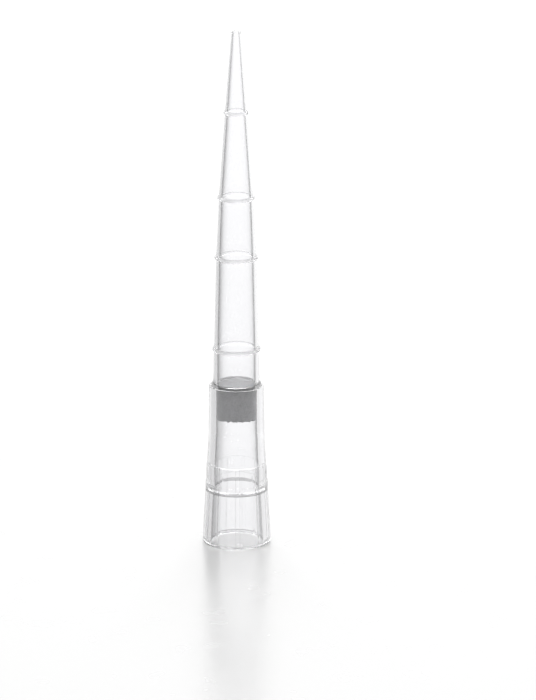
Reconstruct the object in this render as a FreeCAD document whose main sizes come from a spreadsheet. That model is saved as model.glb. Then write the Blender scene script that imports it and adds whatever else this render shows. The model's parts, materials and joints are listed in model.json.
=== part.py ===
"""Filter pipette tip: a clear moulded tip body with a porous filter plug pressed into its bore.

The tip stands on its wide rim. The origin is the middle of the rim's flat face and +Z runs up the
bore to the narrow dispensing end. Lengths are in millimetres.
"""
import FreeCAD, Part
import math
import os
import Sketcher

# Driving dimensions: cell alias, value, and what the size is.
SIZES = (
    # Storeys of the outer wall, stacked from the rim up to the dispensing end.
    ("skirt_height", 5.81, "rim to the underside of the band"),
    ("band_height", 0.58, "band round the hub"),
    ("neck_height", 1.83, "band to the step where the socket ends"),
    ("flare_height", 2.45, "stretch where the collar narrows"),
    ("collar_height", 5.85, "nearly straight collar round the filter"),
    ("crown_height", 0.28, "crown, the short steep rise from the shoulder to the cone's foot"),
    ("cone_base_height", 3.54, "crown to the 200 ul mark"),
    ("mark_200_to_100", 9.50, "200 ul mark to the 100 ul mark"),
    ("mark_100_to_50", 6.16, "100 ul mark to the 50 ul mark"),
    ("mark_50_to_10", 8.73, "50 ul mark to the 10 ul mark"),
    ("mark_10_to_lip", 8.05, "10 ul mark to the lip"),
    ("lip_height", 0.22, "lip round the dispensing end"),
    # Outside diameters.
    ("rim_od", 7.02, "hub at the rim"),
    ("band_od", 6.37, "band, and the skirt where it meets the band"),
    ("neck_od", 6.20, "hub just above the band"),
    ("step_od", 6.11, "hub just below the step where the socket ends"),
    ("flare_od", 6.03, "collar just above that step"),
    ("collar_od", 5.72, "collar at the foot of its straight part"),
    ("mark_200_od", 4.61, "cone just below the 200 ul mark"),
    ("mark_100_od", 4.11, "cone just below the 100 ul mark"),
    ("mark_50_od", 3.53, "cone just below the 50 ul mark"),
    ("mark_10_od", 2.28, "cone just below the 10 ul mark"),
    ("end_od", 0.94, "cone where it meets the lip"),
    ("lip_od", 1.02, "lip round the dispensing end"),
    ("mark_step", 0.08, "how much narrower the cone is just above each mark"),
    # Wall thicknesses outside the filter plug's bore.
    ("shoulder_wall", 0.70, "collar at the shoulder"),
    ("crown_foot_wall", 0.50, "crown, where it rises from the flat shoulder"),
    ("crown_wall", 0.38, "crown, at its top"),
    ("cone_foot_wall", 0.27, "cone, where it rises from the crown"),
    # Bore diameters.
    ("mouth_bore", 5.37, "socket at the rim"),
    ("lead_bore", 4.84, "socket at the inner end of its tapered lead-in"),
    ("seat_bore", 4.62, "straight seat that the pipette's nose is pressed into"),
    ("throat_bore", 4.45, "bore just past the end of the socket"),
    ("plug_bore", 4.16, "straight bore that holds the filter plug"),
    ("cone_bore", 3.89, "cone's bore at the filter plug"),
    ("bore_at_200", 3.85, "bore at the 200 ul mark"),
    ("bore_at_100", 3.43, "bore at the 100 ul mark"),
    ("bore_at_50", 2.99, "bore at the 50 ul mark"),
    ("bore_at_10", 1.80, "bore at the 10 ul mark"),
    ("orifice", 0.62, "hole in the dispensing end"),
    # Heights and lengths inside the bore.
    ("seat_length", 2.42, "length of the socket's straight seat"),
    ("seat_ramp", 0.18, "length of the ramp from the lead-in up to the seat"),
    ("plug_stop_drop", 0.18, "crown down to the step that stops the filter plug"),
    ("plug_bore_length", 4.95, "length of the straight bore that holds the filter plug"),
    # Small features of the wall.
    ("rim_round", 0.25, "rounding of the rim's outer edge"),
    ("mouth_chamfer", 0.15, "chamfer of the rim's inner edge"),
    ("undercut_depth", 0.035, "shallow groove below the band"),
    ("undercut_height", 0.29, "height of that groove"),
    ("undercut_drop", 0.19, "band down to the deepest line of that groove"),
    ("bead_radius", 0.22, "section radius of a volume mark's bead"),
    ("bead_height", 0.12, "how far the bead stands out from the cone"),
    ("flute_count", 9, "shallow flutes in the socket's wall"),
    ("flute_angle", 9, "width of a flute, in degrees round the axis"),
    ("flute_depth", 0.04, "depth of a flute"),
    ("flute_turn", -7.5, "direction of the first flute, in degrees from the X axis"),
    # Filter plug.
    ("plug_length", 3.55, "length of the filter plug"),
    ("plug_edge", 0.10, "chamfer of the filter plug's edges"),
)

STOREYS = (
    "skirt_height",
    "band_height",
    "neck_height",
    "flare_height",
    "collar_height",
    "crown_height",
    "cone_base_height",
    "mark_200_to_100",
    "mark_100_to_50",
    "mark_50_to_10",
    "mark_10_to_lip",
    "lip_height",
)

# The volume marks: name, the storey that ends at the mark, the cone's diameter there and the bore's.
MARKS = (
    ("mark_200", "cone_base_height", "mark_200_od", "bore_at_200"),
    ("mark_100", "mark_200_to_100", "mark_100_od", "bore_at_100"),
    ("mark_50", "mark_100_to_50", "mark_50_od", "bore_at_50"),
    ("mark_10", "mark_50_to_10", "mark_10_od", "bore_at_10"),
)

FULL_TURN = 360
AXIS, ORIGIN_POINT = -1, 1  # how a sketch constraint names the sketch's own origin
START, END, CENTRE = 1, 2, 3  # the points of a line or an arc
SKETCH_UP = FreeCAD.Vector(0, 1, 0)  # the bore's axis, as a sketch sees it


def top_of(storey):
    """Expression for the height of the top of a storey above the rim."""
    below = STOREYS[: STOREYS.index(storey) + 1]
    return " + ".join(f"dims.{name}" for name in below)


def half(size):
    """Expression for the radius that belongs to a diameter."""
    return f"dims.{size} / 2"


def outside_plug(wall):
    """Expression for the outer radius that a wall gives the filter plug's bore."""
    return f"{half('plug_bore')} + dims.{wall}"


SOCKET_END = top_of("neck_height")
PLUG_STOP = f"{top_of('crown_height')} - dims.plug_stop_drop"


def make_sheet(doc):
    """Spreadsheet with one row for each driving dimension."""
    sheet = doc.addObject("Spreadsheet::Sheet", "dims")
    for row, (alias, value, note) in enumerate(SIZES, start=1):
        sheet.set(f"A{row}", alias)
        sheet.set(f"B{row}", str(value))
        sheet.set(f"C{row}", note)
        sheet.setAlias(f"B{row}", alias)
    doc.recompute()
    return sheet


def new_sketch(body, name):
    """Empty sketch on the body's own XZ plane, so that its vertical axis is the bore's axis."""
    sketch = body.newObject("Sketcher::SketchObject", name)
    plane = next(item for item in body.Origin.OriginFeatures if item.Role == "XZ_Plane")
    sketch.AttachmentSupport = [(plane, "")]
    sketch.MapMode = "FlatFace"
    return sketch


def place_point(sketch, geometry, point, radius, height):
    """Dimension one point of a sketch from the axis and from the rim, both by expression."""
    for direction, expression in (("DistanceX", radius), ("DistanceY", height)):
        constraint = Sketcher.Constraint(direction, AXIS, ORIGIN_POINT, geometry, point, 1.0)
        index = sketch.addConstraint(constraint)
        sketch.setExpression(f"Constraints[{index}]", expression)


def draw_outline(body, name, points):
    """Closed outline through points that are each given as a radius and a height expression."""
    sketch = new_sketch(body, name)
    count = len(points)
    turn = 2 * math.pi / count
    loose = [FreeCAD.Vector(math.cos(k * turn), math.sin(k * turn), 0) for k in range(count)]
    for index in range(count):
        sketch.addGeometry(Part.LineSegment(loose[index], loose[(index + 1) % count]))
    for index, (radius, height) in enumerate(points):
        following = (index + 1) % count
        sketch.addConstraint(Sketcher.Constraint("Coincident", index, END, following, START))
        place_point(sketch, index, START, radius, height)
    return sketch


def draw_bead(body, name, radius, height):
    """Half-round outline with its flat side buried in the wall and its centre at the given place."""
    sketch = new_sketch(body, name)
    circle = Part.Circle(FreeCAD.Vector(1, 1, 0), FreeCAD.Vector(0, 0, 1), 0.5)
    arc = sketch.addGeometry(Part.ArcOfCircle(circle, -math.pi / 2, math.pi / 2))
    chord = sketch.addGeometry(Part.LineSegment(FreeCAD.Vector(1, 1.5, 0), FreeCAD.Vector(1, 0.5, 0)))
    sketch.addConstraint(Sketcher.Constraint("Coincident", arc, END, chord, START))
    sketch.addConstraint(Sketcher.Constraint("Coincident", chord, END, arc, START))
    sketch.addConstraint(Sketcher.Constraint("PointOnObject", arc, CENTRE, chord))
    sketch.addConstraint(Sketcher.Constraint("Vertical", chord))
    index = sketch.addConstraint(Sketcher.Constraint("Radius", arc, 0.5))
    sketch.setExpression(f"Constraints[{index}]", "dims.bead_radius")
    place_point(sketch, arc, CENTRE, radius, height)
    return sketch


def turn_about_axis(body, kind, name, sketch):
    """Feature that turns a sketch round the bore's axis: a Revolution adds, a Groove cuts."""
    feature = body.newObject(kind, name)
    feature.Profile = sketch
    feature.ReferenceAxis = (sketch, ["V_Axis"])
    feature.Angle = FULL_TURN
    sketch.Visibility = False
    return feature


def outer_outline():
    """Outside of the tip body, from the rim up to the dispensing end."""
    points = [
        (half("rim_od"), "0"),
        (half("band_od"), f"{top_of('skirt_height')} - dims.undercut_height"),
        (f"{half('band_od')} - dims.undercut_depth", f"{top_of('skirt_height')} - dims.undercut_drop"),
        (half("band_od"), top_of("skirt_height")),
        (half("band_od"), top_of("band_height")),
        (half("neck_od"), top_of("band_height")),
        (half("step_od"), SOCKET_END),
        (half("flare_od"), SOCKET_END),
        (half("collar_od"), top_of("flare_height")),
        (outside_plug("shoulder_wall"), top_of("collar_height")),
        (outside_plug("crown_foot_wall"), top_of("collar_height")),
        (outside_plug("crown_wall"), top_of("crown_height")),
        (outside_plug("cone_foot_wall"), top_of("crown_height")),
    ]
    for _, storey, diameter, _ in MARKS:
        points.append((half(diameter), top_of(storey)))
        points.append((f"{half(diameter)} - dims.mark_step / 2", top_of(storey)))
    points += [
        (half("end_od"), top_of("mark_10_to_lip")),
        (half("lip_od"), top_of("mark_10_to_lip")),
        (half("lip_od"), top_of("lip_height")),
    ]
    return points


def bore_outline():
    """Inside of the tip body, from the dispensing end down to the rim."""
    points = [(half("orifice"), top_of("lip_height"))]
    for _, storey, _, bore in reversed(MARKS):
        points.append((half(bore), top_of(storey)))
    points += [
        (half("cone_bore"), PLUG_STOP),
        (half("plug_bore"), PLUG_STOP),
        (half("plug_bore"), f"{PLUG_STOP} - dims.plug_bore_length"),
        (half("throat_bore"), SOCKET_END),
    ]
    points += socket_outline("0")
    points.append((f"{half('mouth_bore')} + dims.mouth_chamfer", "0"))
    return points


def socket_outline(depth):
    """Wall of the socket, from its inner end down to the mouth, moved outwards by a depth."""
    return [
        (f"{half('seat_bore')} + {depth}", SOCKET_END),
        (f"{half('seat_bore')} + {depth}", f"{SOCKET_END} - dims.seat_length"),
        (f"{half('lead_bore')} + {depth}", f"{SOCKET_END} - dims.seat_length - dims.seat_ramp"),
        (f"{half('mouth_bore')} + {depth}", "dims.mouth_chamfer"),
    ]


def flute_outline():
    """Section of a flute: the socket's wall moved outwards, closed through the empty bore."""
    inside = f"{half('seat_bore')} - dims.flute_depth"
    return socket_outline("dims.flute_depth") + [
        (f"{half('mouth_bore')} + dims.mouth_chamfer", "0"),
        (inside, "0"),
        (inside, SOCKET_END),
    ]


def circular_edges(shape, radius, height):
    """Names of a shape's circular edges that have the given radius and height."""
    names = []
    for number, edge in enumerate(shape.Edges, start=1):
        curve = edge.Curve
        if not isinstance(curve, Part.Circle):
            continue
        if math.isclose(curve.Radius, radius, abs_tol=1e-6) and math.isclose(
            curve.Center.z, height, abs_tol=1e-6
        ):
            names.append(f"Edge{number}")
    return names


def make_tip_body(doc, sheet):
    """Clear tip body: the turned wall, its volume marks, its rounded rim and its fluted socket."""
    body = doc.addObject("PartDesign::Body", "TipBody")
    body.Label = "tip_body"
    wall_sketch = draw_outline(body, "WallOutline", outer_outline() + bore_outline())
    turn_about_axis(body, "PartDesign::Revolution", "Wall", wall_sketch)

    for name, storey, diameter, _ in MARKS:
        centre = f"{half(diameter)} + dims.bead_height - dims.bead_radius"
        bead_sketch = draw_bead(body, f"{name}_outline", centre, top_of(storey))
        turn_about_axis(body, "PartDesign::Revolution", f"{name}_bead", bead_sketch)
    doc.recompute()

    beaded = body.Tip
    rim = body.newObject("PartDesign::Fillet", "RimRound")
    rim.Base = (beaded, circular_edges(beaded.Shape, sheet.rim_od / 2, 0))
    rim.setExpression("Radius", "dims.rim_round")

    flute_sketch = draw_outline(body, "FluteOutline", flute_outline())
    # The offset is given its axis first, because an expression can drive only its angle.
    flute_sketch.AttachmentOffset = FreeCAD.Placement(FreeCAD.Vector(), FreeCAD.Rotation(SKETCH_UP, 1))
    flute_sketch.setExpression("AttachmentOffset.Rotation.Angle", "dims.flute_turn")
    flute = turn_about_axis(body, "PartDesign::Groove", "Flute", flute_sketch)
    flute.Midplane = True
    flute.setExpression("Angle", "dims.flute_angle")
    doc.recompute()

    flutes = body.newObject("PartDesign::PolarPattern", "Flutes")
    flutes.Originals = [flute]
    flutes.Axis = (flute_sketch, ["V_Axis"])
    flutes.Angle = FULL_TURN
    flutes.setExpression("Occurrences", "dims.flute_count")
    body.Tip = flutes
    return body


def make_filter_plug(doc):
    """Porous filter plug: a short cylinder, pressed into its bore as far as the step above it."""
    body = doc.addObject("PartDesign::Body", "FilterPlug")
    body.Label = "filter_plug"
    foot = f"{PLUG_STOP} - dims.plug_length"
    edge_radius = f"{half('plug_bore')} - dims.plug_edge"
    points = [
        ("0", foot),
        (edge_radius, foot),
        (half("plug_bore"), f"{foot} + dims.plug_edge"),
        (half("plug_bore"), f"{PLUG_STOP} - dims.plug_edge"),
        (edge_radius, PLUG_STOP),
        ("0", PLUG_STOP),
    ]
    sketch = draw_outline(body, "PlugOutline", points)
    turn_about_axis(body, "PartDesign::Revolution", "Plug", sketch)
    return body


def check(doc, bodies):
    """Stop on any failed object and on any sub-part that is empty, broken or in several pieces."""
    for item in doc.Objects:
        if "Invalid" in item.State or "Error" in item.State:
            raise RuntimeError(f"{item.Name} failed: {item.State}")
    for body in bodies:
        shape = body.Shape
        if shape.isNull() or not shape.isValid() or len(shape.Solids) != 1:
            raise RuntimeError(f"{body.Label} isn't one valid solid")


def main():
    doc = FreeCAD.newDocument("pipette_tip")
    sheet = make_sheet(doc)
    bodies = [make_tip_body(doc, sheet), make_filter_plug(doc)]
    doc.recompute()
    check(doc, bodies)
    os.makedirs("parts", exist_ok=True)
    for body in bodies:
        body.Shape.exportStep(f"parts/{body.Label}.step")
        print(body.Label, round(body.Shape.Volume, 3), body.Shape.BoundBox)


main()
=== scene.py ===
"""Filter pipette tip on a pale stage: its clear moulded body, its porous filter plug, the lights
and the camera.

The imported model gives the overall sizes, the plug and the socket. Lengths are in metres, in its
frame: the tip stands on its wide rim at the origin, and +Z runs up the bore to the narrow
dispensing end.
"""
import json
import math

import bpy
import numpy as np
from bpy.props import FloatProperty, FloatVectorProperty, IntProperty, PointerProperty
from bpy.types import Operator, Panel, PropertyGroup
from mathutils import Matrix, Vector


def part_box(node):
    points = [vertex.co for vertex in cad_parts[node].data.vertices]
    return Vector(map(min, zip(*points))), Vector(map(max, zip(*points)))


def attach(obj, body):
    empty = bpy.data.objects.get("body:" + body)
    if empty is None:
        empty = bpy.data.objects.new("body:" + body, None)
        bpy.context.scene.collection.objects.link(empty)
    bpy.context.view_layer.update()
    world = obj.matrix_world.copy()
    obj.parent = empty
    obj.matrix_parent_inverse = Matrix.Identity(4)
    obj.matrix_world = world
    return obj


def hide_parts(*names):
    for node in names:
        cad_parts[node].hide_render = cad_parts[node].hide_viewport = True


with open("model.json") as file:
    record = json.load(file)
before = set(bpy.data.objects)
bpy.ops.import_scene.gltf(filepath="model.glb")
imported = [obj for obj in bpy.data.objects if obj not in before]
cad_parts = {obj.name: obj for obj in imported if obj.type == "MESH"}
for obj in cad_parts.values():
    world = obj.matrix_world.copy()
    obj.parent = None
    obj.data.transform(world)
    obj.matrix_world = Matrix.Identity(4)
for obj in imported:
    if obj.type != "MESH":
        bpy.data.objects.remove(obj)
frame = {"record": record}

bl_info = {
    "name": "Filter Pipette Tip",
    "version": (1, 0, 0),
    "blender": (4, 5, 0),
    "location": "View3D > Sidebar > Pipette Tip",
    "description": "Builds a clear filter pipette tip, its porous plug and a pale stage for it",
    "category": "Object",
}

MM = 0.001


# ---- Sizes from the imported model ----

def mount(name):
    """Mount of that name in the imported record."""
    return next(m for m in frame["record"]["mounts"] if m["name"] == name)


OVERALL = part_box("tip_body")[1].z
PLUG_LOW, PLUG_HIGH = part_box("filter_plug")
SOCKET = mount("pipette_socket")
PLUG_RADIUS = PLUG_HIGH.x
SEAT_RADIUS = SOCKET["dims"]["r_mm"] * MM
SEAT_LENGTH = SOCKET["dims"]["length_mm"] * MM
LEDGE_HEIGHT = SOCKET["pos_m"][2] + SEAT_LENGTH / 2


# ---- Settings that a user would change ----

def srgb(code):
    """Linear colour for an sRGB hex code: c / 12.92 up to 0.04045, and ((c + 0.055) / 1.055) ^ 2.4
    above it."""
    channels = np.array([int(code[k : k + 2], 16) for k in (1, 3, 5)]) / 255
    linear = np.where(channels <= 0.04045, channels / 12.92, ((channels + 0.055) / 1.055) ** 2.4)
    return tuple(float(c) for c in linear)


def size_property(label, millimetres):
    """Length property with its default given in millimetres."""
    return FloatProperty(
        name=label.split(",")[0],
        description=label,
        default=millimetres * MM,
        min=0.0,
        precision=5,
        subtype="DISTANCE",
        unit="LENGTH",
    )


def place_property(name, description, metres):
    """Length property of the camera, with its default given in metres."""
    return FloatProperty(
        name=name, description=description, default=metres, subtype="DISTANCE", unit="LENGTH"
    )


def angle_property(name, description, degrees):
    """Angle property with its default given in degrees."""
    return FloatProperty(
        name=name,
        description=description,
        default=math.radians(degrees),
        subtype="ANGLE",
        unit="ROTATION",
    )


def colour_property(name, description, code):
    """Colour property with its default given as an sRGB hex code."""
    return FloatVectorProperty(
        name=name, description=description, subtype="COLOR", default=srgb(code), min=0.0, max=1.0
    )


def light_property(name, description, default):
    """Property for how bright a light or a part of the studio is."""
    return FloatProperty(name=name, description=description, default=default, min=0.0)


BODY_SIZES = (
    # 7.02 as moulded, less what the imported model's flat facets cut off it.
    ("rim_od", 7.008, "Hub at the rim, outside diameter"),
    ("band_od", 6.37, "Band round the hub, outside diameter"),
    ("neck_od", 6.20, "Hub just above the band, outside diameter"),
    ("step_od", 6.11, "Hub below the ledge's step, outside diameter"),
    ("flare_od", 6.03, "Collar above the ledge's step, outside diameter"),
    ("collar_od", 5.72, "Foot of the straight collar, outside diameter"),
    ("shoulder_wall", 0.70, "Wall outside the plug's bore, at the shoulder"),
    ("crown_foot_wall", 0.50, "Wall outside the plug's bore, at the foot of the crown"),
    ("crown_wall", 0.38, "Wall outside the plug's bore, at the top of the crown"),
    ("cone_foot_wall", 0.27, "Wall outside the plug's bore, where the cone rises from the crown"),
    ("end_od", 0.94, "Cone where it meets the lip, outside diameter"),
    ("lip_od", 1.02, "Lip round the dispensing end, outside diameter"),
    ("lip_height", 0.22, "Lip, height"),
    ("band_foot", 5.81, "Underside of the band, height above the rim"),
    ("band_top", 6.39, "Top of the band, height above the rim"),
    ("collar_foot", 10.67, "Foot of the straight collar, height above the rim"),
    ("shoulder_height", 16.52, "Flat shoulder, height above the rim"),
    ("crown_height", 16.80, "Top of the crown, height above the rim"),
    ("undercut_depth", 0.035, "Shallow groove below the band, depth"),
    ("undercut_height", 0.29, "Shallow groove below the band, height"),
    ("undercut_drop", 0.19, "Band down to the groove's deepest line"),
    ("mouth_bore", 5.37, "Socket at the rim, diameter"),
    ("mouth_chamfer", 0.15, "Chamfer of the rim's inner edge, width"),
    ("lead_bore", 4.84, "Inner end of the tapered lead-in, diameter"),
    ("seat_ramp", 0.18, "Ramp from the lead-in up to the seat, length"),
    ("throat_bore", 4.45, "Bore just past the ledge, diameter"),
    ("plug_bore_length", 4.95, "Straight bore that holds the plug, length"),
    ("cone_bore", 3.89, "Cone's bore at the plug, diameter"),
    ("orifice", 0.62, "Hole in the dispensing end, diameter"),
    ("mark_step", 0.08, "How much narrower the cone is above each mark"),
    ("bead_radius", 0.22, "Section radius of a mark's bead"),
    ("bead_height", 0.12, "How far a mark's bead stands out"),
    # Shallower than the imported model's 0.04, which draws the flutes' edges too dark.
    ("flute_depth", 0.024, "Depth of a flute in the socket"),
    ("rim_round", 0.25, "Rounding of the rim's outer edge"),
    ("edge_round", 0.05, "Rounding of the other moulded edges"),
)

# The volume marks, from the shoulder up, in millimetres: height, outside diameter just below, and
# bore.
MARKS = (
    (20.34, 4.61, 3.85),
    (29.84, 4.11, 3.43),
    (36.00, 3.53, 2.99),
    (44.73, 2.28, 1.80),
)


class TipBodySizes(PropertyGroup):
    """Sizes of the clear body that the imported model's boxes and mounts don't give."""

    __annotations__ = {name: size_property(label, value) for name, value, label in BODY_SIZES}
    __annotations__["flute_count"] = IntProperty(
        name="Flutes", description="Shallow flutes round the socket", default=9, min=1
    )
    __annotations__["flute_angle"] = angle_property(
        "Flute width", "Width of a flute round the axis", 9
    )
    __annotations__["flute_turn"] = angle_property(
        "Flute turn", "Direction of the first flute from the X axis", -7.5
    )


class PlugSizes(PropertyGroup):
    """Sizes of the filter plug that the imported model's box doesn't give."""

    air: size_property("Film of air between the plug and its bore", 0.03)
    edge: size_property("Rounding of the plug's edges", 0.1)
    wear: size_property("How deep the plug's lower rim is worn", 0.22)


class FinishSettings(PropertyGroup):
    """Colours of the two plastics and of the floor."""

    clear: colour_property(
        "Polypropylene",
        "Tint of the clear polypropylene, taken up at each face that light crosses",
        "#FDFDFE",
    )
    plug: colour_property("Porous polyethylene", "Colour of the filter plug's beads", "#C5C5C6")
    floor: colour_property("Floor", "Colour of the pale floor", "#616161")
    glow: light_property("Floor glow", "Light that comes up through the opal floor", 0.375)


class StageSettings(PropertyGroup):
    """Camera and lights."""

    pitch: angle_property("Camera pitch", "How far the camera looks down", 15.2)
    distance: place_property("Camera distance", "From the camera to the tip's axis", 0.4656)
    aim_height: place_property(
        "Aim height", "Height on the tip that is level with the middle of the view", 0.02016
    )
    aim_side: place_property(
        "Aim offset", "How far the camera stands to the right of the tip", 0.0032
    )
    lens: FloatProperty(
        name="Lens",
        description="Focal length on a 36 mm sensor",
        default=236.6,
        unit="CAMERA",
        subtype="DISTANCE_CAMERA",
    )
    low: light_property("Low band", "Brightness of the studio beyond the floor's edge", 1.0)
    left: light_property("Left wall", "Brightness of the dark card on the left", 0.0)
    back: light_property("Back wall", "Brightness of the wall behind the tip", 1.7)
    right: light_property("Right wall", "Brightness of the screen on the right", 0.7)
    front: light_property("Front wall", "Brightness of the wall behind the camera", 0.0)
    top: light_property("Ceiling", "Brightness of the studio's ceiling", 2.3)
    key: FloatProperty(
        name="Softbox",
        description="Power of the softbox above and behind the tip",
        default=6.0,
        min=0.0,
        unit="POWER",
    )


# ---- Surfaces ----

# The body's surfaces, in the order of its materials. The last two carry painted shade: grey
# lines round the rim, in the groove and on the crown, and a nearly black top on the crown.
POLISHED, BORE, MARK, PAINTED_LINES, CROWN_TOP = range(5)

COLLAR_FOOT_EASE = 10  # rounding at the collar's foot, where it barely turns, in edge roundings
CROWN_OVERLAP = 0.6  # how far the crown's dull surface runs up the cone, in edge roundings
CROWN_EDGE = 0.2  # how far the surface of its top runs down over its edge, in edge roundings
SIDE_SHARE = 0.45  # most of a side that one corner's arc may take
BEAD_SHARE = 0.96  # the same at a bead's point
BEAD_POINT = math.radians(30)  # a corner with a smaller half angle is a bead's point
SMALLEST_ANGLE, LARGEST_ANGLE = 0.01, math.pi / 2 - 1e-6  # of a corner's half angle, in radians
SAME_POINT = 1e-7  # points nearer to each other than this are one, in metres

FLUTE_RAMP = 0.1  # each side of a flute, as a share of its width
# Angles across a flute's side, its floor and the land between flutes, both ends counted.
FLUTE_SIDE_POINTS, FLUTE_FLOOR_POINTS, LAND_POINTS = 5, 7, 13

WEAR_TURNS = np.arange(17, 61)  # how many times each wave of the worn rim goes round the plug
WEAR_SEED = 11
WEAR_REACH = 4  # how far the wear reaches from the rim, in depths


def body_outline(s):
    """Closed outline of the body's wall: up the outside from the rim, over the lip and down the
    bore. One row for each corner: radius, height, rounding, share of the flute's depth, and 1 in
    the bore or 0 outside."""
    edge = s.edge_round
    outside = [
        (s.rim_od / 2, 0.0, s.rim_round),
        (s.band_od / 2, s.band_foot - s.undercut_height, edge),
        (s.band_od / 2 - s.undercut_depth, s.band_foot - s.undercut_drop, edge / 2),
        (s.band_od / 2, s.band_foot, edge / 2),
        (s.band_od / 2, s.band_top, edge),
        (s.neck_od / 2, s.band_top, edge / 2),
        (s.step_od / 2, LEDGE_HEIGHT, edge / 2),
        (s.flare_od / 2, LEDGE_HEIGHT, edge / 2),
        (s.collar_od / 2, s.collar_foot, COLLAR_FOOT_EASE * edge),
        (PLUG_RADIUS + s.shoulder_wall, s.shoulder_height, edge),
        (PLUG_RADIUS + s.crown_foot_wall, s.shoulder_height, edge / 2),
        (PLUG_RADIUS + s.crown_wall, s.crown_height, edge / 2),
        (PLUG_RADIUS + s.cone_foot_wall, s.crown_height, edge / 2),
    ]
    for height, diameter, _ in MARKS:
        outside += bead_corners(s, diameter * MM / 2, height * MM)
    outside += [
        (s.end_od / 2, OVERALL - s.lip_height, edge / 2),
        (s.lip_od / 2, OVERALL - s.lip_height, edge / 2),
        (s.lip_od / 2, OVERALL, edge),
    ]
    bore = [(s.orifice / 2, OVERALL, edge / 2)]
    bore += [(diameter * MM / 2, height * MM, edge) for height, _, diameter in reversed(MARKS)]
    bore += [
        (s.cone_bore / 2, PLUG_HIGH.z, edge / 2),
        (PLUG_RADIUS, PLUG_HIGH.z, edge / 2),
        (PLUG_RADIUS, PLUG_HIGH.z - s.plug_bore_length, edge),
        (s.throat_bore / 2, LEDGE_HEIGHT, edge / 2),
    ]
    socket = [
        (SEAT_RADIUS, LEDGE_HEIGHT, edge / 2),
        (SEAT_RADIUS, LEDGE_HEIGHT - SEAT_LENGTH, edge),
        (s.lead_bore / 2, LEDGE_HEIGHT - SEAT_LENGTH - s.seat_ramp, edge),
        (s.mouth_bore / 2, s.mouth_chamfer, edge),
    ]
    mouth = [(s.mouth_bore / 2 + s.mouth_chamfer, 0.0, edge / 2)]
    stretches = ((outside, 0, 0), (bore, 0, 1), (socket, 1, 1), (mouth, 0, 1))
    return np.array([(*row, flute, side) for rows, flute, side in stretches for row in rows])


def bead_section(s):
    """Depth d of the centre of a bead's arc inside the wall, and the bead's half width,
    sqrt(r^2 - d^2)."""
    depth = s.bead_radius - s.bead_height
    return depth, math.sqrt(s.bead_radius**2 - depth**2)


def bead_corners(s, radius, height):
    """Three corners of a mark's bead: its two feet on the wall, a half width up and down, and the
    point where the arc's end tangents meet, r^2 / d out from the arc's centre."""
    depth, half_width = bead_section(s)
    return [
        (radius, height - half_width, s.edge_round / 2),
        (radius - depth + s.bead_radius**2 / depth, height, s.bead_radius),
        (radius - s.mark_step / 2, height + half_width, s.edge_round / 2),
    ]


def strip_surfaces(outline, s):
    """Surface that each strip of an outline belongs to, a strip being what lies between a row and
    the next. The height of its middle decides. On the outside, a bead is what lies within a half
    width of a mark. Strips round the rim, in the groove and over the crown get a painted grey shade
    that draws them as lines, and the crown's top has a nearly black painted shade of its own."""
    height = (outline[:, 1] + np.roll(outline[:, 1], -1)) / 2
    in_bore = outline[:, 4] > 0.5
    marks = np.array([mark * MM for mark, _, _ in MARKS])
    on_bead = np.abs(height[:, None] - marks).min(1) < bead_section(s)[1]
    on_rim = height < s.rim_round
    in_groove = height > s.band_foot - s.undercut_height
    in_groove &= height < s.band_foot + s.edge_round / 2
    on_crown = height > s.shoulder_height + s.edge_round / 2
    on_crown &= height < s.crown_height + CROWN_OVERLAP * s.edge_round
    on_top = on_crown & (height > s.crown_height - CROWN_EDGE * s.edge_round)
    # Strips painted with a grey shade that draws lines round the rim, in the groove and on the
    # crown.
    painted_lines = on_rim | ~in_bore & (in_groove | on_crown)
    return np.select(
        [~in_bore & on_top, painted_lines, in_bore, on_bead], [CROWN_TOP, PAINTED_LINES, BORE, MARK], POLISHED
    )


def round_corners(corners, steps, closed=True):
    """Outline with an arc at every corner.
    An arc of radius r at a corner with half angle h starts r / tan(h) along each side, or at the
    largest share of the side that it may take. It is the conic with control point P and weight
    sin(h): (q^2 A + 2 w q t P + t^2 B) / (q^2 + 2 w q t + t^2), with q = 1 - t."""
    points = corners[:, :2]
    before = np.roll(points, 1, axis=0) - points
    after = np.roll(points, -1, axis=0) - points
    length_before = np.linalg.norm(before, axis=1)
    length_after = np.linalg.norm(after, axis=1)
    cosine = (before * after).sum(1) / (length_before * length_after)
    half = np.arccos(np.clip(cosine, -1, 1)) / 2
    reach = corners[:, 2] / np.tan(np.clip(half, SMALLEST_ANGLE, LARGEST_ANGLE))
    limit = np.where(half < BEAD_POINT, BEAD_SHARE, SIDE_SHARE)
    reach = np.minimum(reach, limit * np.minimum(length_before, length_after))
    share_before = (reach / length_before)[:, None]
    share_after = (reach / length_after)[:, None]
    first = corners + (np.roll(corners, 1, axis=0) - corners) * share_before
    last = corners + (np.roll(corners, -1, axis=0) - corners) * share_after
    t = np.linspace(0, 1, steps)[None, :, None]
    q = 1 - t
    weight = np.sin(half)[:, None, None]
    middle = 2 * weight * q * t
    arcs = q**2 * first[:, None] + middle * corners[:, None] + t**2 * last[:, None]
    arcs /= q**2 + middle + t**2
    if not closed:
        arcs[0] = corners[0]
        arcs[-1] = corners[-1]
    return arcs.reshape(-1, corners.shape[1])


def split_sides(outline, longest, closed=True):
    """Outline with points added along its sides, evenly, so that none is longer than the given
    length."""
    following = np.roll(outline, -1, axis=0)
    length = np.linalg.norm((following - outline)[:, :2], axis=1)
    if not closed:
        length[-1] = 0
    parts = np.maximum(1, np.ceil(length / longest)).astype(int)
    side = np.repeat(np.arange(len(outline)), parts)
    along = (np.arange(parts.sum()) - np.repeat(np.cumsum(parts) - parts, parts)) / parts[side]
    return outline[side] + (following[side] - outline[side]) * along[:, None]


def drop_doubles(outline):
    """Outline without points that repeat the one before."""
    step = np.linalg.norm((outline - np.roll(outline, 1, axis=0))[:, :2], axis=1)
    return outline[step > SAME_POINT]


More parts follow.
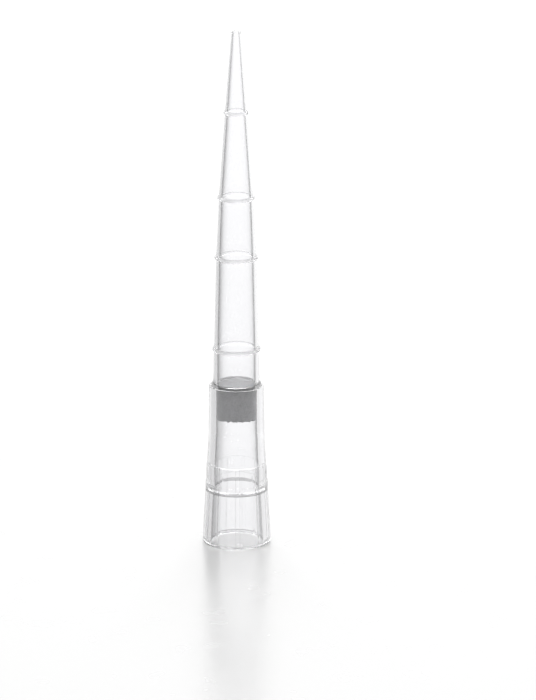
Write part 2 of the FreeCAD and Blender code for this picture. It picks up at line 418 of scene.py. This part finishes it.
def flute_angles(count, width, turn):
    """Angles round the axis from the first flute's direction, closest together at the flutes'
    sides, and each angle's share of the flute's depth. The share falls from 1 to 0 across the
    flute's side: 3 u^2 - 2 u^3."""
    pitch = 2 * math.pi / count
    ramp = width * FLUTE_RAMP
    inner, outer = (width - ramp) / 2, (width + ramp) / 2
    side = np.linspace(inner, outer, FLUTE_SIDE_POINTS)
    floor = np.linspace(-inner, inner, FLUTE_FLOOR_POINTS)[1:-1]
    land = np.linspace(outer, pitch - outer, LAND_POINTS)[1:-1]
    local = np.concatenate([-side[::-1], floor, side, land])
    u = np.clip((outer - np.abs(local)) / ramp, 0, 1)
    share = u * u * (3 - 2 * u)
    angles = turn + (np.arange(count)[:, None] * pitch + local[None, :]).ravel()
    return angles, np.tile(share, count)


def turned_grid(outline, angles, share, depth):
    """Points of an outline turned round the axis: ((r + depth f g) cos a, (r + depth f g) sin a,
    z), where f is the outline's own share of the flute's depth and g is the angle's."""
    radius = outline[:, 0, None] + depth * outline[:, 3, None] * share[None, :]
    x = radius * np.cos(angles)[None, :]
    y = radius * np.sin(angles)[None, :]
    z = np.broadcast_to(outline[:, 1, None], x.shape)
    return np.stack([x, y, z], axis=-1)


def ring_quads(rows, columns, closed):
    """Quads between neighbouring rows of a grid that closes round its columns, and round its rows
    if closed."""
    row = np.arange(rows if closed else rows - 1)[:, None]
    column = np.arange(columns)[None, :]
    following_row = (row + 1) % rows
    following = (column + 1) % columns
    corners = (
        row * columns + column,
        row * columns + following,
        following_row * columns + following,
        following_row * columns + column,
    )
    corners = [np.broadcast_to(corner, (len(row), columns)) for corner in corners]
    return np.stack(corners, axis=-1).reshape(-1, 4)


def pole_fan(columns, start, pole, upward):
    """Triangles between a ring of points, numbered from the start, and the pole that closes it.
    They wind anticlockwise as seen from above if upward."""
    ring = start + np.arange(columns)
    following = np.roll(ring, -1)
    first, second = (ring, following) if upward else (following, ring)
    return np.stack([first, second, np.full_like(ring, pole)], axis=-1)


def crumbled_rim(grid, radius, foot, depth):
    """Plug's grid with its lower rim worn ragged. Each point rises by depth (1 + m) / 2 times w.
    With a its angle round the axis, m is the sum of sin(k a + phase) over the n waves, k being the
    turns of each and its phase seeded, over sqrt(2 n) and kept from -1 to 1. With d its distance
    from the rim, w = max(0, 1 - d / (reach depth))."""
    rng = np.random.default_rng(WEAR_SEED)
    phases = rng.uniform(0, 2 * math.pi, len(WEAR_TURNS))
    angles = np.arctan2(grid[..., 1], grid[..., 0])
    waves = np.sin(WEAR_TURNS * angles[..., None] + phases).sum(-1)
    waves /= math.sqrt(2 * len(WEAR_TURNS))
    ragged = (1 + np.clip(waves, -1, 1)) / 2
    away = np.hypot(np.hypot(grid[..., 0], grid[..., 1]) - radius, grid[..., 2] - foot)
    worn = grid.copy()
    worn[..., 2] += depth * ragged * np.maximum(0, 1 - away / (WEAR_REACH * depth))
    return worn


def mesh_object(name, vertices, faces, materials):
    """Smooth-shaded object at the origin from an array of vertices and a list of face arrays."""
    mesh = bpy.data.meshes.new(name)
    rows = [face for part in faces for face in part.tolist()]
    mesh.from_pydata(vertices.reshape(-1, 3).tolist(), [], rows)
    mesh.validate()
    mesh.polygons.foreach_set("use_smooth", np.ones(len(mesh.polygons), bool))
    for material in materials:
        mesh.materials.append(material)
    mesh.update()
    piece = bpy.data.objects.new(name, mesh)
    bpy.context.scene.collection.objects.link(piece)
    return piece


def weigh_normals(piece):
    """Lets the large faces set the normals at a rounded edge's ends, so that flat walls stay
    optically flat."""
    modifier = piece.modifiers.new("flat walls", "WEIGHTED_NORMAL")
    modifier.mode = "FACE_AREA"
    modifier.weight = 50
    modifier.keep_sharp = False


# ---- Materials ----

# How much light a face of the body lets through as it turns away: 0 is face on and 1 is edge on.
# These are fitted to the look of the part's lines, and the real plastic is far clearer than three
# of them, which are painted shade: the bore's edge on, which draws the bore's edges as dark lines,
# the painted lines', which draws grey lines round the rim, in the groove and on the crown, and the
# crown's top's, which is nearly black. It only dims a bright line that the flat top draws across
# the front of the plug.
OUTSIDE_SHADE = ((0.0, 0.985), (0.6, 0.955), (1.0, 0.9))
PAINTED_LINES_SHADE = ((0.0, 0.34), (0.6, 0.32), (1.0, 0.29))
CROWN_TOP_PAINTED_SHADE = ((0.0, 0.05), (0.6, 0.04), (1.0, 0.03))
BORE_EDGE_PAINTED_SHADE = (
    (0.0, 1.0),
    (0.1, 0.99),
    (0.2, 0.97),
    (0.3, 0.93),
    (0.45, 0.8),
    (0.55, 0.58),
    (0.65, 0.3),
    (0.75, 0.1),
    (0.85, 0.02),
    (1.0, 0.0),
)

# The body's materials, in the order of its surfaces: part of the body, shade and satin.
BODY_FINISHES = (
    ("outside", OUTSIDE_SHADE, 0.0),
    # Towards edge on, its shade is painted shade that darkens the bore's edges into dark lines.
    ("bore", BORE_EDGE_PAINTED_SHADE, 0.0),
    ("marks", OUTSIDE_SHADE, 0.68),
    # Painted grey shade that draws lines round the rim, in the groove below the band and on the
    # crown.
    ("painted shade lines", PAINTED_LINES_SHADE, 0.14),
    # Painted shade, nearly black, that dims a bright line across the front of the plug.
    ("crown's top", CROWN_TOP_PAINTED_SHADE, 0.14),
)


def add_node(tree, kind, inputs=None, **settings):
    """Adds a node, sets its properties, and fills or links its inputs by name or number."""
    node = tree.nodes.new(kind)
    for name, value in settings.items():
        setattr(node, name, value)
    for name, value in (inputs or {}).items():
        socket = node.inputs[name]
        if isinstance(value, bpy.types.NodeSocket):
            tree.links.new(value, socket)
        else:
            socket.default_value = value
    return node


def set_curve(node, points):
    """Gives a curve node its points, as pairs from 0 to 1."""
    curve = node.mapping.curves[0]
    while len(curve.points) < len(points):
        curve.points.new(1.0, 1.0)
    for point, place in zip(curve.points, points):
        point.location = place
    node.mapping.update()


def new_material(name):
    """Empty node material with its output and an Object coordinate socket."""
    material = bpy.data.materials.new(name)
    material.use_nodes = True
    tree = material.node_tree
    tree.nodes.clear()
    output = add_node(tree, "ShaderNodeOutputMaterial")
    place = add_node(tree, "ShaderNodeTexCoord").outputs["Object"]
    return material, tree, output, place


def moulded_polypropylene(finish, name, shade, satin):
    """Clear polypropylene, injection moulded against polished steel: glossy, and so clear that it
    shows mostly as lines where its walls turn edge on. Its crystals and the longer way through a
    steep wall take more light there, which the outside's shade stands for, on the marks too. The
    bore's shade does the same face on, and edge on it is painted shade that darkens the bore's
    edges into dark lines. A shade is pairs of how far a face is turned from the eye, 0 to 1, and
    the share of light that it lets through. The melt's flow leaves faint streaks along the tip,
    about 0.5 mm apart and 8 mm long, and the polish a faint unevenness about 0.3 mm wide in the
    gloss. Satin adds to the roughness where the mould isn't polished. Its grooves for the marks are
    taken to be as cut, which leaves the beads soft to the eye. The rim, the groove below the band
    and the crown are dull, and a painted dark grey shade draws them as lines, nearly black on the
    crown's top."""
    material, tree, output, place = new_material(name)
    turned = add_node(tree, "ShaderNodeLayerWeight", {"Blend": 0.5}).outputs["Facing"]
    # Share of light let through: the plastic's own take-up on the outside, and painted shade at the
    # bore's edges, the painted lines and the crown's top.
    clearness_and_painted_shade = add_node(tree, "ShaderNodeFloatCurve", {"Value": turned})
    set_curve(clearness_and_painted_shade, shade)
    tint = add_node(
        tree,
        "ShaderNodeMix",
        {"Factor": clearness_and_painted_shade.outputs["Value"], "A": (0, 0, 0, 1), "B": (*finish.clear, 1)},
        data_type="RGBA",
    )
    gloss = add_node(
        tree, "ShaderNodeTexNoise", {"Vector": place, "Scale": 1 / (0.3 * MM), "Detail": 2.0}
    )
    roughness = add_node(
        tree,
        "ShaderNodeMapRange",
        {
            "Value": gloss.outputs["Fac"],
            "From Min": 0.3,
            "From Max": 0.7,
            "To Min": 0.015 + satin,
            "To Max": 0.05 + satin,
        },
    )
    along = add_node(
        tree,
        "ShaderNodeMapping",
        {"Vector": place, "Scale": (1 / (0.5 * MM), 1 / (0.5 * MM), 1 / (8 * MM))},
    )
    flow = add_node(
        tree,
        "ShaderNodeTexNoise",
        {"Vector": along.outputs["Vector"], "Scale": 1.0, "Detail": 1.0},
    )
    streaks = add_node(
        tree,
        "ShaderNodeBump",
        {"Strength": 0.15, "Distance": 0.01 * MM, "Height": flow.outputs["Fac"]},
    )
    shader = add_node(
        tree,
        "ShaderNodeBsdfPrincipled",
        {
            "Base Color": tint.outputs["Result"],
            "Roughness": roughness.outputs["Result"],
            "IOR": 1.49,
            "Transmission Weight": 1.0,
            "Normal": streaks.outputs["Normal"],
        },
    )
    tree.links.new(shader.outputs["BSDF"], output.inputs["Surface"])
    return material


def porous_polyethylene(finish):
    """Polyethylene beads sintered into a porous plug: matt and grey, since its pores swallow
    light. The beads are about 0.12 mm across and show as a fine grain, and their packing varies
    over about 0.8 mm."""
    material, tree, output, place = new_material("sintered porous polyethylene")
    beads = add_node(tree, "ShaderNodeTexVoronoi", {"Vector": place, "Scale": 1 / (0.12 * MM)})
    packing = add_node(
        tree, "ShaderNodeTexNoise", {"Vector": place, "Scale": 1 / (0.8 * MM), "Detail": 3.0}
    )
    pores = add_node(
        tree,
        "ShaderNodeMapRange",
        {
            "Value": beads.outputs["Distance"],
            "From Min": 0.2,
            "From Max": 0.8,
            "To Min": 1.0,
            "To Max": 0.8,
        },
    )
    loose = add_node(
        tree,
        "ShaderNodeMapRange",
        {
            "Value": packing.outputs["Fac"],
            "From Min": 0.3,
            "From Max": 0.7,
            "To Min": 0.93,
            "To Max": 1.05,
        },
    )
    shade = add_node(
        tree,
        "ShaderNodeMath",
        {0: pores.outputs["Result"], 1: loose.outputs["Result"]},
        operation="MULTIPLY",
    )
    colour = add_node(
        tree,
        "ShaderNodeMix",
        {"Factor": shade.outputs["Value"], "A": (0, 0, 0, 1), "B": (*finish.plug, 1)},
        data_type="RGBA",
        clamp_factor=False,
    )
    roughness = add_node(
        tree,
        "ShaderNodeMapRange",
        {
            "Value": beads.outputs["Distance"],
            "From Min": 0.0,
            "From Max": 0.8,
            "To Min": 0.75,
            "To Max": 1.0,
        },
    )
    grain = add_node(
        tree,
        "ShaderNodeBump",
        {"Strength": 0.5, "Distance": 0.04 * MM, "Height": beads.outputs["Distance"]},
        invert=True,
    )
    shader = add_node(
        tree,
        "ShaderNodeBsdfPrincipled",
        {
            "Base Color": colour.outputs["Result"],
            "Roughness": roughness.outputs["Result"],
            "IOR": 1.5,
            "Normal": grain.outputs["Normal"],
        },
    )
    tree.links.new(shader.outputs["BSDF"], output.inputs["Surface"])
    return material


def opal_acrylic(finish):
    """Opal acrylic sheet, cast and lit from beneath: pale, shadowless and satin. The casting
    leaves the satin uneven over about 4 mm."""
    material, tree, output, place = new_material("cast opal acrylic")
    cast = add_node(
        tree, "ShaderNodeTexNoise", {"Vector": place, "Scale": 1 / (4 * MM), "Detail": 2.0}
    )
    roughness = add_node(
        tree,
        "ShaderNodeMapRange",
        {
            "Value": cast.outputs["Fac"],
            "From Min": 0.3,
            "From Max": 0.7,
            "To Min": 0.22,
            "To Max": 0.28,
        },
    )
    ripple = add_node(
        tree,
        "ShaderNodeBump",
        {"Strength": 0.02, "Distance": 0.02 * MM, "Height": cast.outputs["Fac"]},
    )
    shader = add_node(
        tree,
        "ShaderNodeBsdfPrincipled",
        {
            "Base Color": (*finish.floor, 1.0),
            "Roughness": roughness.outputs["Result"],
            "IOR": 1.49,
            "Normal": ripple.outputs["Normal"],
            "Emission Color": (1, 1, 1, 1),
            "Emission Strength": finish.glow,
        },
    )
    tree.links.new(shader.outputs["BSDF"], output.inputs["Surface"])
    return material


# ---- Stage ----

FLOOR_RADII = np.array([0.05, 0.5, 3.0])  # of the floor's rings of points, in metres
FLOOR_SIDES = 96
FLOOR_DROP = 0.01 * MM  # from the rim down to the floor, so that they don't share a plane

# Heights in the studio are the sines of angles above the level of the tip.
BRIGHTEST = 4.0  # brightness that stands for 1 on the walls' curve
WALLS_FROM, WALLS_FULL = 0.10, 0.19  # where the walls take over from the low band
CEILING_FROM, CEILING_FULL = 0.26, 0.52  # where the ceiling takes over from a bright wall
CEILING_RISE = 0.15  # how much higher it starts over a dark one

SOFTBOX_SIDE = 0.3  # in metres
SOFTBOX_DISTANCE = 0.6  # from the plug's top, in metres
SOFTBOX_ANGLE = math.radians(60)  # above the level of the plug's top

SENSOR_WIDTH = 36  # in millimetres
NEAREST, FARTHEST = 0.01, 10  # what the camera sees lies between these, in metres
BOUNCES = 96  # enough for light to find its way out of the body's walls


def lay_floor(material):
    """Round floor a hair below the rim: rings of points (r cos a, r sin a, -drop), closed by a
    fan round the middle."""
    angles = np.linspace(0, 2 * math.pi, FLOOR_SIDES, endpoint=False)
    radii = FLOOR_RADII[:, None]
    height = np.full((len(radii), FLOOR_SIDES), -FLOOR_DROP)
    grid = np.stack([radii * np.cos(angles), radii * np.sin(angles), height], axis=-1)
    vertices = np.concatenate([grid.reshape(-1, 3), [[0, 0, -FLOOR_DROP]]])
    fan = pole_fan(FLOOR_SIDES, 0, len(vertices) - 1, upward=True)
    quads = ring_quads(len(radii), FLOOR_SIDES, closed=False)[:, ::-1]
    floor = mesh_object("floor", vertices, [quads, fan], [material])


def surround(scene, stage):
    """Studio all round, so that the clear walls have something to bend and reflect: a low band
    beyond the floor's edge, walls whose brightness goes round with the compass, and a ceiling,
    which starts higher where the walls are dark."""
    world = bpy.data.worlds.new("studio")
    world.use_nodes = True
    tree = world.node_tree
    tree.nodes.clear()
    output = add_node(tree, "ShaderNodeOutputWorld")
    way = add_node(tree, "ShaderNodeTexCoord").outputs["Generated"]
    parts = add_node(tree, "ShaderNodeSeparateXYZ", {"Vector": way})
    compass = add_node(
        tree, "ShaderNodeMath", {0: parts.outputs["X"], 1: parts.outputs["Y"]}, operation="ARCTAN2"
    )
    round_once = add_node(
        tree,
        "ShaderNodeMapRange",
        {"Value": compass.outputs["Value"], "From Min": -math.pi, "From Max": math.pi},
    )
    walls = add_node(tree, "ShaderNodeFloatCurve", {"Value": round_once.outputs["Result"]})
    set_curve(walls, wall_curve(stage))
    bright = add_node(
        tree, "ShaderNodeMath", {0: walls.outputs["Value"], 1: BRIGHTEST}, operation="MULTIPLY"
    )
    above = add_node(
        tree,
        "ShaderNodeMapRange",
        {"Value": parts.outputs["Z"], "From Min": WALLS_FROM, "From Max": WALLS_FULL},
        interpolation_type="SMOOTHSTEP",
    )
    side = add_node(
        tree,
        "ShaderNodeMix",
        {"Factor": above.outputs["Result"], "A": stage.low, "B": bright.outputs["Value"]},
    )
    rise = add_node(
        tree,
        "ShaderNodeMapRange",
        {
            "Value": bright.outputs["Value"],
            "From Min": 0.0,
            "From Max": 1.0,
            "To Min": CEILING_RISE,
            "To Max": 0.0,
        },
    )
    over = add_node(
        tree,
        "ShaderNodeMath",
        {0: parts.outputs["Z"], 1: rise.outputs["Result"]},
        operation="SUBTRACT",
    )
    high = add_node(
        tree,
        "ShaderNodeMapRange",
        {"Value": over.outputs["Value"], "From Min": CEILING_FROM, "From Max": CEILING_FULL},
        interpolation_type="SMOOTHSTEP",
    )
    whole = add_node(
        tree,
        "ShaderNodeMix",
        {"Factor": high.outputs["Result"], "A": side.outputs["Result"], "B": stage.top},
    )
    sky = add_node(
        tree,
        "ShaderNodeBackground",
        {"Color": (1, 1, 1, 1), "Strength": whole.outputs["Result"]},
    )
    tree.links.new(sky.outputs["Background"], output.inputs["Surface"])
    scene.world = world


def wall_curve(stage):
    """Curve of the walls' brightness round the studio: pairs of a direction, in degrees from
    behind the tip and positive to the right, as a share of a full turn, and a brightness as a
    share of the brightest."""
    left, back, right, front = stage.left, stage.back, stage.right, stage.front
    stops = (
        (-180, front),
        (-130, front),
        (-90, (front + left) / 2),
        (-60, left),
        (-16, left),
        (-3, back),
        (0, back),
        (20, back),
        (45, right),
        (70, right),
        (110, (right + front) / 2),
        (150, front),
        (180, front),
    )
    return [((degrees + 180) / 360, brightness / BRIGHTEST) for degrees, brightness in stops]


def hang_softbox(stage):
    """Square softbox high above and behind the tip. It lights the plug's top through the clear
    cone and leaves the plug's front in shade."""
    light = bpy.data.lights.new("softbox", "AREA")
    light.shape = "SQUARE"
    light.size = SOFTBOX_SIDE
    light.energy = stage.key
    lamp = bpy.data.objects.new("softbox", light)
    away = Vector((0, math.cos(SOFTBOX_ANGLE), math.sin(SOFTBOX_ANGLE)))
    lamp.location = Vector((0, 0, PLUG_HIGH.z)) + SOFTBOX_DISTANCE * away
    lamp.rotation_euler = away.to_track_quat("Z", "Y").to_euler()
    bpy.context.scene.collection.objects.link(lamp)


def place_camera(scene, stage):
    """Camera in front of the tip, looking down by the pitch, with the aim height on the tip's axis
    level with the middle of the view."""
    camera = bpy.data.cameras.new("camera")
    camera.lens = stage.lens
    camera.sensor_width = SENSOR_WIDTH
    camera.clip_start = NEAREST
    camera.clip_end = FARTHEST
    eye = bpy.data.objects.new("camera", camera)
    away = Vector((0, -math.cos(stage.pitch), math.sin(stage.pitch)))
    eye.location = Vector((stage.aim_side, 0, stage.aim_height)) + away * stage.distance
    eye.rotation_euler = (math.pi / 2 - stage.pitch, 0, 0)
    scene.collection.objects.link(eye)
    scene.camera = eye


# ---- Operators ----

BODY_ARC_POINTS = 7
BODY_LONGEST_SIDE = 1.0 * MM
PLUG_ARC_POINTS = 6
PLUG_LONGEST_SIDE = 0.08 * MM
PLUG_SIDES = 180


class MakeTipBody(Operator):
    """Turns the clear body from its outline and cuts the socket's flutes"""

    bl_idname = "pipette_tip.make_body"
    bl_label = "Clear Body"

    def execute(self, context):
        sizes = context.scene.tip_body_sizes
        outline = round_corners(body_outline(sizes), BODY_ARC_POINTS)
        outline = drop_doubles(split_sides(outline, BODY_LONGEST_SIDE))
        angles, share = flute_angles(sizes.flute_count, sizes.flute_angle, sizes.flute_turn)
        grid = turned_grid(outline, angles, share, sizes.flute_depth)
        quads = ring_quads(len(outline), len(angles), closed=True)
        finish = context.scene.tip_finish
        materials = [
            moulded_polypropylene(finish, f"moulded clear polypropylene, {part}", shade, satin)
            for part, shade, satin in BODY_FINISHES
        ]
        piece = mesh_object("clear_body", grid, [quads], materials)
        surfaces = np.repeat(strip_surfaces(outline, sizes), len(angles)).astype(np.int32)
        piece.data.polygons.foreach_set("material_index", surfaces)
        weigh_normals(piece)
        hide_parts("tip_body")
        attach(piece, "root")
        return {"FINISHED"}


class MakeFilterPlug(Operator):
    """Turns the porous filter plug, a hair narrower than its bore to leave a film of air"""

    bl_idname = "pipette_tip.make_plug"
    bl_label = "Filter Plug"

    def execute(self, context):
        sizes = context.scene.tip_plug_sizes
        radius = PLUG_RADIUS - sizes.air
        top = PLUG_HIGH.z - sizes.air
        corners = np.array(
            [
                (0.0, PLUG_LOW.z, 0.0, 0, 0),
                (radius, PLUG_LOW.z, sizes.edge, 0, 0),
                (radius, top, sizes.edge, 0, 0),
                (0.0, top, 0.0, 0, 0),
            ]
        )
        outline = round_corners(corners, PLUG_ARC_POINTS, closed=False)
        outline = drop_doubles(split_sides(outline, PLUG_LONGEST_SIDE, closed=False))
        inner = outline[1:-1]
        angles = np.linspace(0, 2 * math.pi, PLUG_SIDES, endpoint=False)
        grid = turned_grid(inner, angles, np.zeros(PLUG_SIDES), 0.0)
        grid = crumbled_rim(grid, radius, PLUG_LOW.z, sizes.wear)
        poles = np.array([[0, 0, outline[0, 1]], [0, 0, outline[-1, 1]]])
        vertices = np.concatenate([grid.reshape(-1, 3), poles])
        quads = ring_quads(len(inner), PLUG_SIDES, closed=False)
        low = pole_fan(PLUG_SIDES, 0, len(vertices) - 2, upward=False)
        last_ring = (len(inner) - 1) * PLUG_SIDES
        high = pole_fan(PLUG_SIDES, last_ring, len(vertices) - 1, upward=True)
        material = porous_polyethylene(context.scene.tip_finish)
        piece = mesh_object("porous_plug", vertices, [quads, low, high], [material])
        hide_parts("filter_plug")
        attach(piece, "root")
        return {"FINISHED"}


class MakeStage(Operator):
    """Lays the floor and sets up the surroundings, the softbox and the camera"""

    bl_idname = "pipette_tip.make_stage"
    bl_label = "Stage"

    def execute(self, context):
        scene = context.scene
        stage = scene.tip_stage
        lay_floor(opal_acrylic(scene.tip_finish))
        surround(scene, stage)
        hang_softbox(stage)
        place_camera(scene, stage)
        scene.view_settings.view_transform = "Standard"
        scene.cycles.max_bounces = BOUNCES
        scene.cycles.transmission_bounces = BOUNCES
        scene.cycles.glossy_bounces = BOUNCES
        return {"FINISHED"}


class TipPanel(Panel):
    """Sidebar panel with the settings and the pieces"""

    bl_idname = "PIPETTE_TIP_PT_panel"
    bl_label = "Pipette Tip"
    bl_space_type = "VIEW_3D"
    bl_region_type = "UI"
    bl_category = "Pipette Tip"

    def draw(self, context):
        for name in SETTINGS:
            group = getattr(context.scene, name)
            box = self.layout.box()
            for setting in group.__annotations__:
                box.prop(group, setting)
        for operator in OPERATORS:
            self.layout.operator(operator.bl_idname)


SETTINGS = {
    "tip_body_sizes": TipBodySizes,
    "tip_plug_sizes": PlugSizes,
    "tip_finish": FinishSettings,
    "tip_stage": StageSettings,
}
OPERATORS = (MakeTipBody, MakeFilterPlug, MakeStage)
CLASSES = (*SETTINGS.values(), *OPERATORS, TipPanel)


def register():
    for cls in CLASSES:
        bpy.utils.register_class(cls)
    for name, group in SETTINGS.items():
        setattr(bpy.types.Scene, name, PointerProperty(type=group))


def unregister():
    for name in SETTINGS:
        delattr(bpy.types.Scene, name)
    for cls in reversed(CLASSES):
        bpy.utils.unregister_class(cls)


def main():
    """Builds every piece and the stage."""
    register()
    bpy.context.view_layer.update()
    bpy.ops.pipette_tip.make_body()
    bpy.ops.pipette_tip.make_plug()
    bpy.ops.pipette_tip.make_stage()


if __name__ == "__main__":
    main()
